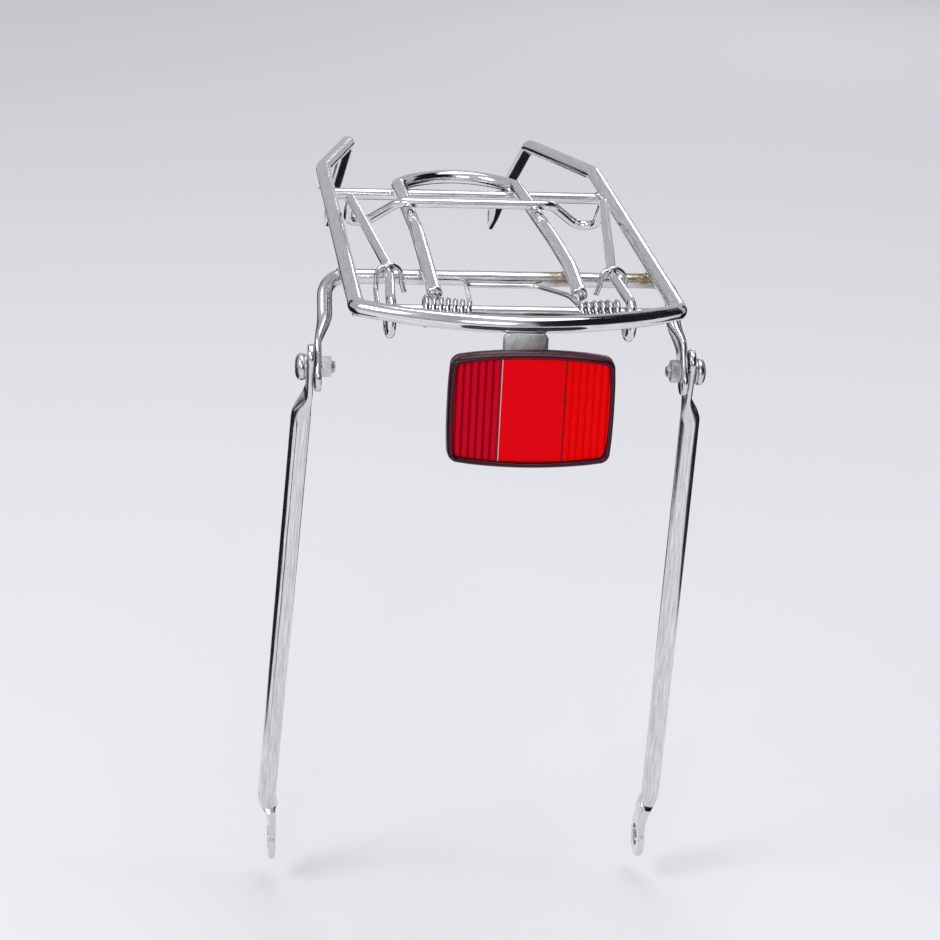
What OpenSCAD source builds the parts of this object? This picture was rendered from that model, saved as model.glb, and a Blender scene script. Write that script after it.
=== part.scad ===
// Rear rack for a small-wheeled bicycle: bent wire platform, sprung clip, two struts, rear reflector.
// Millimetres. Origin: middle of the line between the two strut eyes. +X right, +Y forward, +Z up.

/* [Platform] */
// Distance between the centrelines of the two side rails
rail_spacing = 124; // [100:1:150]
// Diameter of the main frame rod
frame_d = 6.5; // [5:0.5:10]
// Straight length of a side rail, from the rear corner to the front bend
rail_length = 215; // [160:5:300]
// How far the rear bow stands behind the rear corners
bow_depth = 26.6; // [10:0.1:50]
// Half the distance between the two front leg ends
leg_half = 43.5; // [30:0.5:60]
// Front leg hole, ahead of the rear corners
leg_forward = 438; // [380:1:500]
// Front leg hole, below the rails
leg_drop = 78; // [40:1:120]
// Hole in the flattened front leg ends
leg_hole_d = 6.2; // [5:0.1:8]

/* [Cross bars and hoop] */
// Diameter of the front crossbar
crossbar_d = 5; // [4:0.5:8]
// Front crossbar, ahead of the rear corners
crossbar_y = 190; // [150:1:210]
// Diameter of the bridge bar that carries the struts
bridge_d = 6; // [5:0.5:8]
// Bridge bar, ahead of the rear corners
bridge_y = 57; // [40:1:80]
// Diameter of the inner support hoop
hoop_d = 6; // [4:0.5:8]
// Half the width of the hoop at its front shoulders
hoop_half = 26.3; // [20:0.1:35]

/* [Spring clip] */
// Diameter of the straight hinge axle
axle_d = 5; // [4:0.5:6]
// Hinge axle, ahead of the rear corners
axle_y = 7.6; // [6:0.1:12]
// Diameter of the clip wire
clip_d = 4; // [3:0.5:5]
// Cross part of the clip, ahead of the rear corners
clip_y = 135; // [100:1:160]
// Diameter of the torsion spring wire
spring_d = 2; // [1.5:0.1:2.5]
// Mean radius of the spring coils at their inner ends, tight round the axle
coil_r = 3.8; // [3.7:0.1:5]
// Spring wire turns in the right coil; the left one has one more
coil_turns = 4.25; // [3.25:1:5.25]

/* [Struts] */
// Height of the platform over the wheel axle
platform_up = 279; // [240:1:330]
// Rear corners, behind the wheel axle
platform_back = 104; // [60:1:140]
// Strut tube diameter
strut_d = 8; // [6:0.5:10]
// Wall of the rolled strut tube
strut_wall = 1; // [0.8:0.1:1.5]
// Hole in the eye at the wheel axle
eye_hole_d = 10; // [9:0.1:12]

/* [Reflector] */
// Reflector width
lens_w = 62.5; // [50:0.5:80]
// Reflector height
lens_h = 45; // [35:0.5:60]
// Height of the reflector centre against the rails
lens_z = -28.2; // [-35:0.1:-20]

/* [Hidden] */
half = rail_spacing / 2;
weld = 0.4;                  // depth that crossing rods sink into each other
sides = 14;                  // facets round a thick rod
wire_sides = 10;             // facets round a spring wire
crossbar_z = -(frame_d + crossbar_d) / 2 + weld;
bridge_z = -(frame_d + bridge_d) / 2 + weld;
hoop_z = bridge_z + (bridge_d + hoop_d) / 2 - weld;
axle_z = -(frame_d + axle_d) / 2 + weld;
clip_z = hoop_z + (hoop_d + clip_d) / 2 + 0.35;
clip_x = -1.5;               // the clip sits a little to the left on its axle
coil_left = 17.4;            // inner ends of the two coils, from the middle
coil_right = 25.8;
coil_pitch = 2.75;
ring_gap = 2.46;             // from the fixed coil's end to the turning ring
eye_x = 46.5;                // clip eye, from the middle of the clip
eye_sink = 1.9;              // the loose eye hangs below the axle by this much
eye_r = 6.9;                 // mean radius of the loose eye
bolt_y = 34.6;               // strut bolt, ahead of the rear corners
bolt_z = -36.9;              // strut bolt, against the rails
tab_x = 73.3;                // middle of the bridge bar's flattened tab
tab_t = 2.6;
bridge_leg_x = 70.3;
gap = 0.3;                   // running gap beside moving flats
strut_x = tab_x + tab_t + gap;
strut_lean = atan2(platform_back - bolt_y, platform_up + bolt_z);
strut_length = norm([platform_back - bolt_y, platform_up + bolt_z]);
bolt_d = 5;
eye_plate_x = 83;
lens_x = 1.4;
leg_lean = atan2(leg_drop - 8.5, leg_forward - 305);
bridge_lean = atan2(bridge_y - bolt_y, bridge_z - bolt_z);

chrome = [0.8, 0.81, 0.83];
steel = [0.62, 0.62, 0.62];
red = [0.7, 0.03, 0.05];
black = [0.06, 0.06, 0.06];

function unit(v) = v / norm(v);

// Points along an arc of radius r that rounds the corner b between a and c.
function bend(a, b, c, r, n) = let (
  u = unit(a - b), v = unit(c - b), th = acos(u * v), t = r / tan(th / 2),
  m = b + unit(u + v) * r / sin(th / 2), e1 = b + u * t - m, e2 = b + v * t - m, ph = 180 - th)
  [for (k = [0 : n]) m + (e1 * sin((1 - k / n) * ph) + e2 * sin(k / n * ph)) / sin(ph)];

// A path through corner points, each inner corner rounded to its own radius.
function route(pts, radii, n) = concat([pts[0]],
  [for (i = [1 : len(pts) - 2]) each bend(pts[i - 1], pts[i], pts[i + 1], radii[i - 1], n)],
  [pts[len(pts) - 1]]);

function flip(p) = [for (i = [len(p) - 1 : -1 : 0]) [-p[i][0], p[i][1], p[i][2]]];
function shifted(p, v) = [for (q = p) q + v];
function tangent(p, i) = unit(p[min(i + 1, len(p) - 1)] - p[max(i - 1, 0)]);
function normals(p, n0, i = 0) = i == len(p) ? [] :
  let (t = tangent(p, i), n = unit(n0 - t * (t * n0))) concat([n], normals(p, n, i + 1));
function first_normal(t) = abs(t[2]) < 0.8 ? [0, 0, 1] : [1, 0, 0];

// Side triangles of a stack of rings, with end caps.
function ring_faces(rows, n) = concat(
  [[for (k = [0 : n - 1]) k]],
  [for (i = [0 : rows - 2], k = [0 : n - 1]) let (k2 = (k + 1) % n) [i * n + k, i * n + n + k, i * n + n + k2]],
  [for (i = [0 : rows - 2], k = [0 : n - 1]) let (k2 = (k + 1) % n) [i * n + k, i * n + n + k2, i * n + k2]],
  [[for (k = [n - 1 : -1 : 0]) (rows - 1) * n + k]]);

// A bent round rod.
module rod(p, d, n) {
  nn = normals(p, first_normal(tangent(p, 0)));
  polyhedron([for (i = [0 : len(p) - 1]) let (t = tangent(p, i), b = cross(t, nn[i]))
    for (k = [0 : n - 1]) p[i] + d / 2 * (nn[i] * cos(360 * k / n) + b * sin(360 * k / n))],
    ring_faces(len(p), n));
}

// A bar along +Z whose cross-section changes: rows are [z, x offset, width along Y, thickness along X].
module flattening(rows) {
  n = 16;
  polyhedron([for (r = rows) for (k = [0 : n - 1]) let (a = -(k + 0.5) * 360 / n, f = cos(180 / n),
    c = cos(a) / f, s = sin(a) / f)
    [r[1] + r[3] / 2 * s, (r[2] - r[3]) / 2 * sign(c) + r[3] / 2 * c, r[0]]],
    ring_faces(len(rows), n));
}

// Rod end pressed flat and drilled: it starts at the origin and runs along +Z.
module tab_end(d, w, t, neck, reach, over, x, hole) difference() {
  union() {
    flattening([[-3, 0, d - 0.4, d - 0.4], [0.2, 0, d - 0.1, d - 0.1],
      [neck * 0.5, x * 0.5, d + (w - d) * 0.42, d + (t - d) * 0.55], [neck, x, w - 0.25, t - 0.25],
      [neck + 2, x, w - 0.3, t - 0.3]]);
    translate([x - t / 2, -w / 2, neck]) cube([t, w, reach - neck + over - w / 2]);
    translate([x - t / 2, 0, reach + over - w / 2]) rotate([0, 90, 0]) cylinder(d = w, h = t, $fn = 48);
  }
  translate([x - t, 0, reach]) rotate([0, 90, 0]) cylinder(d = hole, h = 2 * t, $fn = 48);
}

module both_sides() {
  children();
  mirror([1, 0, 0]) children();
}

// Everything on the platform is placed from the rear corners of the rails.
module on_platform() translate([0, -platform_back, platform_up]) children();

// ---- platform ----

leg_start = [44.1, 305, -8.5];
leg_dir = unit([0, leg_forward - 305, -(leg_drop - 8.5)]);
leg_len = norm([leg_forward - 305, leg_drop - 8.5]);
leg_press = 64;              // length of the leg end that is pressed flat

function bow_side() = [for (k = [0 : 9]) let (a = k / 9)
  [a * (half - 8), -bow_depth + bow_depth * 0.555 * a * a, 0]];

module main_frame() color(chrome) {
  corner = [half, -6.5, 0];
  right = concat(bow_side(),
    bend([half - 8, -bow_depth * 0.445, 0], corner, [half, 40, 0], 6, 8),
    bend([half, 0, 0], [half, rail_length, 0], leg_start, 40, 6),
    bend([half, rail_length, 0], leg_start, leg_start + 60 * leg_dir, 24, 6),
    [leg_start + (leg_len - leg_press) * leg_dir]);
  on_platform() {
    rod(concat(flip(right), [for (i = [1 : len(right) - 1]) right[i]]), frame_d, sides);
    both_sides() translate(leg_start + (leg_len - leg_press) * leg_dir) rotate([-90 - leg_lean, 0, 0])
      tab_end(frame_d, 15, 2.6, 42, leg_press, 7.5, 0, leg_hole_d);
  }
}

module front_crossbar() color(chrome)
  on_platform() translate([-half, crossbar_y, crossbar_z]) rotate([0, 90, 0])
    cylinder(d = crossbar_d, h = rail_spacing, $fn = 40);

module bridge_bar() color(chrome) {
  down = unit([0, bolt_y - bridge_y, bolt_z - bridge_z]);
  reach = norm([bolt_y - bridge_y, bolt_z - bridge_z]);
  top = [bridge_leg_x, bridge_y, bridge_z];
  right = concat(bend([0, bridge_y, bridge_z], top, top + 30 * down, 8.5, 8), [top + (reach - 22) * down]);
  on_platform() {
    rod(concat(flip(right), right), bridge_d, sides);
    both_sides() translate(top + (reach - 22) * down) rotate([180 - bridge_lean, 0, 0])
      tab_end(bridge_d, 12, tab_t, 12, 22, 10, tab_x - bridge_leg_x, bolt_d + 0.02);
  }
}

// A U over the cross bars: an arched front, tight shoulders, and arms that spread a little to the rear.
module support_hoop() color(chrome) {
  rise = 15;
  r = (hoop_half * hoop_half + rise * rise) / (2 * rise);
  front = asin(hoop_half / r);
  y0 = 202.6 - r;
  x0 = -3.7;
  arc = [for (k = [-8 : 8]) let (a = front * 0.86 * k / 8) [x0 + r * sin(a), y0 + r * cos(a), hoop_z + 0.6 * (1 - abs(k) / 8)]];
  arm_right = [[27.3, 95, hoop_z], [28.2, bridge_y, hoop_z], [26.8, 17, hoop_z - 0.5]];
  arm_left = [[-28.9, 110, hoop_z], [-29.6, bridge_y, hoop_z], [-30.2, 15, hoop_z - 0.5]];
  shoulders = [for (s = [[-1, arm_left], [1, arm_right]]) bend([x0 + s[0] * r * sin(front * 0.9), y0 + r * cos(front * 0.9), hoop_z],
    [x0 + s[0] * (hoop_half + 0.3), 187, hoop_z], s[1][0], 5, 4)];
  left = concat(shoulders[0], arm_left);
  on_platform() rod(concat([for (i = [len(left) - 1 : -1 : 0]) left[i]], arc, shoulders[1], arm_right),
    hoop_d, sides);
}

module hinge_axle() color(chrome)
  on_platform() translate([-half - 0.5, axle_y, axle_z]) rotate([0, 90, 0])
    cylinder(d = axle_d, h = rail_spacing + 1, $fn = 40);

// ---- spring clip ----

// A point round the hinge axle; angle 0 is forward, 90 is up.
function round_axle(x, r, a) = [x, axle_y + r * cos(a), axle_z + r * sin(a)];

// A coil that starts on top of the axle and winds over it to the rear, growing from radius r1 to r2.
function coil(x, turns, r1, r2) = [for (k = [0 : 14 * turns]) let (f = k / (14 * turns))
  round_axle(x + coil_pitch * turns * f, r1 + (r2 - r1) * f, 90 + 360 * turns * f)];

module torsion_spring() color(steel) {
  y = bridge_y - 3.3;
  z = bridge_z - 2.1;
  right = concat(
    route([[0, y, z], [15.6, y, z], [25.6, 36, -6.5], [27.2, 18, -5.5], [coil_right, axle_y, axle_z + coil_r]],
      [6, 22, 10], 4),
    coil(coil_right, coil_turns, coil_r, 4.7));
  left = concat(
    route([[0, y, z], [13.6, y, z], [coil_left, axle_y, axle_z + coil_r]], [1.8], 4),
    coil(coil_left, coil_turns + 1, coil_r, 5.3));
  on_platform() rod(concat(flip(left), [for (i = [1 : len(right) - 1]) right[i]]), spring_d, wire_sides);
}

// Ring round the axle, through the clip eye, then forward and over the clip arm.
function spring_leg(ring_x, r) = let (out = 49.6, side = 50.6, hook_y = 39, top_z = 4.15, arch = 5,
  foot = [ring_x, axle_y + 3.1, axle_z - 0.83 * r], corner = [side, axle_y + 2.7, axle_z - 2.7], knee = [out, hook_y, axle_z - 0.7])
  concat(
    [for (a = [10 : 10 : 290]) round_axle(ring_x, r, a)],
    bend(round_axle(ring_x, r, 290), foot, corner, 1, 3),
    bend(foot, corner, knee, 2.4, 4), bend(corner, knee, [out, hook_y, 10], 3, 4),
    [for (a = [0 : 18 : 180]) [out - arch + arch * cos(a), hook_y, top_z - arch + arch * sin(a)]],
    [[out - 2 * arch - 0.1, hook_y, -3], [out - 2 * arch - 1.4, hook_y, -7]]);

module spring_leg_right() color(steel)
  on_platform() rod(shifted(spring_leg(coil_right + coil_pitch * coil_turns + ring_gap - clip_x, 4.8), [clip_x, 0, 0]), spring_d, wire_sides);

module spring_leg_left() color(steel)
  on_platform() rod(shifted(flip(spring_leg(coil_left + coil_pitch * (coil_turns + 1) + ring_gap + clip_x, 5.4)), [clip_x, 0, 0]), spring_d, wire_sides);

module clip_wire() color(chrome) {
  eye_z = axle_z - eye_sink;
  right = concat(
    route([[0, clip_y, clip_z], [33, clip_y, clip_z], [45.3, clip_y + 10.5, -5.9], [53.8, clip_y + 8.5, -5.9],
      [54.2, clip_y - 6, 8.4], [44.3, 41.5, 1.5], [eye_x, axle_y, eye_z + eye_r]],
      [7, 5.8, 5.8, 5.2, 30], 6),
    [for (a = [108 : 18 : 378]) [eye_x, axle_y + eye_r * cos(a), eye_z + eye_r * sin(a)]]);
  on_platform() translate([clip_x, 0, 0])
    rod(concat(flip(right), [for (i = [1 : len(right) - 1]) right[i]]), clip_d, 12);
}

// ---- struts ----

module strut() {
  tube_x1 = 2.8;             // tube axis against the upper flat, top and bottom
  tube_x2 = 9.6;
  z1 = 24;
  z2 = strut_length - 26;
  run = norm([tube_x2 - tube_x1, z2 - z1]);
  turn = atan2(tube_x2 - tube_x1, z2 - z1);
  low_x = eye_plate_x - strut_x;
  flat = 11.4;
  difference() {
    union() {
      flattening([[8, 0, flat - 0.3, tab_t - 0.3], [12, 0, flat - 0.2, tab_t - 0.2],
        [18, tube_x1 * 0.5, 9.6, 5.4], [z1, tube_x1, strut_d - 0.15, strut_d - 0.15],
        [z1 + 5, tube_x1 + 0.1, strut_d - 0.5, strut_d - 0.5]]);
      translate([-tab_t / 2, -flat / 2, 0]) cube([tab_t, flat, 11]);
      translate([-tab_t / 2, 0, 0]) rotate([0, 90, 0]) cylinder(d = flat, h = tab_t, $fn = 48);
      translate([-tab_t / 2, -flat / 2, -4]) cube([tab_t, flat, 4.5]);
      translate([-tab_t / 2, 0, -4]) rotate([0, 90, 0]) cylinder(d = flat, h = tab_t, $fn = 48);
      translate([tube_x1, 0, z1]) rotate([0, turn, 0]) difference() {
        cylinder(d = strut_d, h = run, $fn = 48);
        translate([0, 0, 8]) cylinder(d = strut_d - 2 * strut_wall, h = run - 16, $fn = 40);
        rotate([0, 0, 135]) translate([0, -0.2, 0.6]) cube([strut_d, 0.4, run - 1.2]);
      }
      flattening([[z2 - 5, tube_x2 - 0.1, strut_d - 0.5, strut_d - 0.5],
        [z2, tube_x2, strut_d - 0.15, strut_d - 0.15], [z2 + 7, tube_x2 - 1.2, 11.5, 5.6],
        [z2 + 14, low_x, 15, 2.8], [z2 + 17, low_x, 15, 2.8]]);
      translate([low_x - 1.5, 0, strut_length]) rotate([0, 90, 0]) cylinder(d = 20, h = 3, $fn = 64);
      translate([low_x - 1.5, -7.7, strut_length - 11]) cube([3, 15.4, 8]);
    }
    translate([-5, 0, 0]) rotate([0, 90, 0]) cylinder(d = bolt_d + 0.15, h = 10, $fn = 48);
    translate([low_x - 4, 0, strut_length]) rotate([0, 90, 0]) cylinder(d = eye_hole_d, h = 8, $fn = 64);
  }
}

module strut_right() color(chrome)
  on_platform() translate([strut_x, bolt_y, bolt_z]) rotate([180 + strut_lean, 0, 0]) strut();

module strut_left() color(chrome)
  mirror([1, 0, 0]) on_platform() translate([strut_x, bolt_y, bolt_z]) rotate([180 + strut_lean, 0, 0]) strut();

// ---- strut bolts, along +X from the inside out ----

washer_x = strut_x + tab_t / 2 + gap;

module at_bolt(x) on_platform() both_sides() translate([x, bolt_y, bolt_z]) rotate([0, 90, 0]) children();

module strut_bolts() color(steel) {
  start = tab_x - tab_t / 2 - 5.6;
  at_bolt(start) cylinder(d = bolt_d, h = washer_x + 1.2 - start, $fn = 40);
  at_bolt(washer_x + 1) difference() {
    rotate_extrude($fn = 48) polygon([[0, 0], [5.2, 0], [5.4, 0.3], [5.4, 1.5], [5.1, 2.3], [4.3, 2.9], [3, 3.3],
      [0, 3.5]]);
    for (a = [0, 90]) rotate([0, 0, a + 20]) translate([-2.3, -0.5, 1.8]) cube([4.6, 1, 3]);
  }
}

module strut_washers() color(steel) at_bolt(washer_x) difference() {
  cylinder(d = 10, h = 1, $fn = 48);
  translate([0, 0, -1]) cylinder(d = bolt_d + 0.02, h = 3, $fn = 48);
}

module strut_nuts() color(steel) at_bolt(tab_x - tab_t / 2 - 4) difference() {
  rotate([0, 0, 15]) cylinder(d = 8 / cos(30), h = 4, $fn = 6);
  translate([0, 0, -1]) cylinder(d = bolt_d + 0.02, h = 6, $fn = 48);
}

// ---- reflector ----

plate_y = -bow_depth - 3;    // rear face of the bracket
stud_d = 5;

// A rounded rectangle with slightly arched edges, as [x, z] points.
function shield(w, h, r = 4.2, arch = 2.4, bulge = 0.8) = let (
  c = [w / 2 - bulge, h / 2 - arch, 0],
  top = [for (k = [0 : 4]) let (x = (c[0] - 2 * r) * k / 4) [x, h / 2 - arch * pow(2 * x / w, 2), 0]],
  side = [for (k = [4 : -1 : 0]) let (z = (c[1] - 2 * r) * k / 4) [w / 2 - bulge * pow(2 * z / h, 2), z, 0]],
  q = concat(top, bend(top[4], c, side[0], r, 5), side), n = len(q) - 1)
  concat([for (p = q) [p[0], p[1]]], [for (i = [n - 1 : -1 : 0]) [q[i][0], -q[i][1]]],
    [for (i = [1 : n]) [-q[i][0], -q[i][1]]], [for (i = [n - 1 : -1 : 1]) [-q[i][0], q[i][1]]]);

module reflector_bracket() color(chrome) on_platform() difference() {
  translate([0, plate_y, -21.4]) {
    translate([-8.5, 0, -16.3]) cube([17, 2, 32.6]);
    translate([-6.1, 0, -18.7]) cube([12.2, 2, 37.4]);
    for (x = [-6.1, 6.1], z = [-16.3, 16.3]) translate([x, 0, z]) rotate([-90, 0, 0]) cylinder(r = 2.4, h = 2, $fn = 32);
  }
  translate([0, plate_y - 1, lens_z]) rotate([-90, 0, 0]) cylinder(d = stud_d + 0.02, h = 4, $fn = 40);
}

module reflector_housing() color(black) on_platform() translate([lens_x, 0, lens_z]) {
  translate([0, plate_y - 3, 0]) rotate([90, 0, 0]) linear_extrude(6) polygon(shield(lens_w - 3, lens_h - 3));
  translate([-lens_x, plate_y - 4, 0]) rotate([-90, 0, 0]) cylinder(d = 13, h = 4, $fn = 48);
}

module reflector_lens() color(red) on_platform() translate([lens_x, 0, lens_z]) {
  translate([0, plate_y - 9, 0]) rotate([90, 0, 0]) linear_extrude(5.6) polygon(shield(lens_w, lens_h));
  translate([0, plate_y - 14, 0.5]) rotate([90, 0, 0]) linear_extrude(1.4)
    polygon(shield(lens_w - 4.2, lens_h - 3.8, 3));
  for (side = [-1, 1], k = [0 : 5]) translate([side * (13.3 + 2.7 * k), plate_y - 15.4, 0.5])
    cylinder(d = 1.3, h = 33, center = true, $fn = 24);
}

module along_stud(y) on_platform() translate([0, y, lens_z]) rotate([-90, 0, 0]) children();

module reflector_stud() color(steel) along_stud(plate_y - 6) cylinder(d = stud_d, h = 14.6, $fn = 40);

module reflector_washer() color(steel) along_stud(plate_y + 2) difference() {
  cylinder(d = 10, h = 1, $fn = 48);
  translate([0, 0, -1]) cylinder(d = stud_d + 0.02, h = 3, $fn = 48);
}

module reflector_nut() color(steel) along_stud(plate_y + 3) difference() {
  rotate([0, 0, 30]) cylinder(d = 8 / cos(30), h = 4, $fn = 6);
  translate([0, 0, -1]) cylinder(d = stud_d + 0.02, h = 6, $fn = 48);
}

main_frame();
front_crossbar();
bridge_bar();
support_hoop();
hinge_axle();
torsion_spring();
spring_leg_left();
spring_leg_right();
clip_wire();
strut_left();
strut_right();
strut_bolts();
strut_washers();
strut_nuts();
reflector_bracket();
reflector_lens();
reflector_housing();
reflector_stud();
reflector_nut();
reflector_washer();
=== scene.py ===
"""Rear rack of a small-wheeled bicycle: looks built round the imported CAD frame.

Lengths are in millimetres on the platform: x to the right, y forward from the rear corners of the
side rails, z up from their centreline. mesh_object() turns a Shell into the frame's metres.
"""

import math

import bpy
import bmesh
import numpy as np
from mathutils import Matrix, Vector


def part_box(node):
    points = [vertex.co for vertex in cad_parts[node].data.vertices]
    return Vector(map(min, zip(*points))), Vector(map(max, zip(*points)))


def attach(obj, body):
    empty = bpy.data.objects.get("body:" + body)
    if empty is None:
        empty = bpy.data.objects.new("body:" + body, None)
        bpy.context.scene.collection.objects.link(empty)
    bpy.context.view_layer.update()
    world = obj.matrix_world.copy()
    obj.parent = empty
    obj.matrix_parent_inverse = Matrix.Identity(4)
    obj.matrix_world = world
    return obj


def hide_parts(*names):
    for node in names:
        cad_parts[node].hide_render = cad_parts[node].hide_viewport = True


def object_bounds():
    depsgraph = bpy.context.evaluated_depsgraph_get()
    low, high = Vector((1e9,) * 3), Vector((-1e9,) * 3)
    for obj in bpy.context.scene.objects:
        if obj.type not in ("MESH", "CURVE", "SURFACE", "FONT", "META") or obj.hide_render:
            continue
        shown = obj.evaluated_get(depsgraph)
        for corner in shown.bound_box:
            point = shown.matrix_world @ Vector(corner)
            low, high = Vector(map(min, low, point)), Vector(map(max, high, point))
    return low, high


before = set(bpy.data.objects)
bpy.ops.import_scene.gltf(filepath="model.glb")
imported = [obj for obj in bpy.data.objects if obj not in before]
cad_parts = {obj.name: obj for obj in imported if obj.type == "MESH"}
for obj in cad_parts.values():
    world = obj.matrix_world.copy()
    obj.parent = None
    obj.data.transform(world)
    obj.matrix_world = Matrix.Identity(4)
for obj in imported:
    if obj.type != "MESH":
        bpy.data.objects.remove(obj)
cad_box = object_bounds()

MM = 0.001
AXLE_Y, AXLE_Z = 7.6, -5.35            # hinge axle, against the rear corners of the rails
axle_low, axle_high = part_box("hinge_axle")
AXLE = (axle_low + axle_high) / 2
ORIGIN = np.array([0.0, AXLE.y / MM - AXLE_Y, AXLE.z / MM - AXLE_Z])

HALF = 62.0                             # half the spacing of the side rails
BOW, BOW_END, BOW_CURVE = 26.6, HALF - 8, 0.555
FRAME_D, BAR_D, BRIDGE_D, HOOP_D, AXLE_D, CLIP_D, SPRING_D = 6.5, 5.0, 6.0, 6.0, 5.0, 4.0, 2.0
RAIL_END = 215.0
NOSE = np.array([44.1, 305.0, -8.5])
LEG_HOLE = np.array([43.5, 438.0, -78.0])
LEG_BORE, LEG_FLAT_W, LEG_FLAT_T = 6.2, 15.0, 2.6
LEG_TIP = 7.5                           # the leg runs this far past its hole
BAR_Y, BAR_Z = 190.0, -5.35
BAR_WELDS = (-28.0, 20.6)               # where the hoop crosses the front crossbar
BRIDGE_Y, BRIDGE_Z = 57.0, -5.85
BRIDGE_WELDS = (-29.6, 28.2)            # where the hoop crosses the bridge bar
BRIDGE_LEG_X = 70.3
HOOP_Z, HOOP_HALF, HOOP_X = -0.25, 26.3, -3.7
CLIP_X = -1.5                           # the clip's middle
CLIP_Y, CLIP_Z = 135.0, HOOP_Z + 5.35
EYE_X, EYE_R, EYE_Z = 46.5, 6.9, AXLE_Z - 1.9
COIL_R, COIL_PITCH, RING_GAP = 3.8, 2.75, 2.46
COIL_X = {-1: 17.4, 1: 25.8}            # by side, -1 left and 1 right
TURNS = {-1: 5.25, 1: 4.25}
COIL_END_R = {-1: 5.3, 1: 4.7}
RING_R = {-1: 5.4, 1: 4.8}
BOLT_Y, BOLT_Z, BOLT_BORE = 34.6, -36.9, 5.02
TAB_X, TAB_T, TAB_R = 73.3, 2.6, 6.0
STRUT_X = TAB_X + TAB_T + 0.3
WASHER_X = STRUT_X + TAB_T / 2 + 0.3
WHEEL_EYE_X, WHEEL_EYE_R, WHEEL_BORE = 83.0, 10.0, 10.0
PLATE_Y = -BOW - 3
LENS_X, LENS_Z, LENS_W, LENS_H = 1.4, -28.2, 62.5, 45.0


def vec(*c):
    return np.array(c, float)


def unit(v):
    return v / np.linalg.norm(v)


def ease(x, lo, hi):
    t = min(1.0, max(0.0, (x - lo) / (hi - lo)))
    return t * t * (3 - 2 * t)


def mix(a, b, t):
    return a + (b - a) * t


# ---------------------------------------------------------------- paths

def bend(a, b, c, r, n=10):
    """Points of an arc of radius r that rounds the corner b between a and c."""
    a, b, c = (np.asarray(p, float) for p in (a, b, c))
    u, v = unit(a - b), unit(c - b)
    th = math.acos(max(-1.0, min(1.0, float(u @ v))))
    if math.pi - th < 0.02:
        return [b]
    m = b + unit(u + v) * r / math.sin(th / 2)
    t = r / math.tan(th / 2)
    e1, e2, ph = b + u * t - m, b + v * t - m, math.pi - th
    return [m + (e1 * math.sin((1 - k / n) * ph) + e2 * math.sin(k / n * ph)) / math.sin(ph) for k in range(n + 1)]


def route(points, radii, n=10):
    path = [np.asarray(points[0], float)]
    for i in range(1, len(points) - 1):
        path += bend(points[i - 1], points[i], points[i + 1], radii[i - 1], n)
    return path + [np.asarray(points[-1], float)]


def round_end(centre, along, r, degrees):
    """Points from the middle of a rounded flat end to its tip."""
    return [centre + r * math.sin(math.radians(a)) * along for a in degrees]


def chord(r, u):
    """Width of a round end of radius r, at the distance u from its tip."""
    return 2 * math.sqrt(max(0.0, r * r - (r - u) ** 2))


def flip(path):
    return [vec(-p[0], p[1], p[2]) for p in reversed(path)]


def moved(path, *shift):
    return [np.asarray(p) + vec(*shift) for p in path]


def spaced(path, step):
    """The same path with its points no further apart than step, and none doubled."""
    out = [np.asarray(path[0], float)]
    for p in path[1:]:
        start, d = out[-1], np.linalg.norm(p - out[-1])
        if d > 0.05:
            n = max(1, math.ceil(d / step))
            out += [start + (p - start) * k / n for k in range(1, n + 1)]
    return out


def relaxed(path, rounds):
    p = np.array(path)
    for _ in range(rounds):
        p[1:-1] = 0.25 * p[:-2] + 0.5 * p[1:-1] + 0.25 * p[2:]
    return list(p)


# ---------------------------------------------------------------- meshes

class Shell:
    """Collects rings of points and the faces between them, in millimetres."""

    def __init__(self):
        self.verts, self.faces, self.uvs = [], [], []

    def ring(self, points, v):
        n = len(points)
        self.verts += [tuple(p) for p in points]
        self.uvs += [(k / n, v) for k in range(n)]
        return len(self.verts) - n

    def join(self, a, b, n):
        for k in range(n):
            k2 = (k + 1) % n
            self.faces.append((a + k, a + k2, b + k2, b + k))

    def cap(self, a, n, far):
        ring = range(a, a + n)
        self.faces.append(tuple(ring) if far else tuple(reversed(ring)))

    def stack(self, rings, n):
        """Joins rings that run anticlockwise seen from the far end, and caps both ends."""
        for a, b in zip(rings, rings[1:]):
            self.join(a, b, n)
        self.cap(rings[0], n, False)
        self.cap(rings[-1], n, True)


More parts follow.
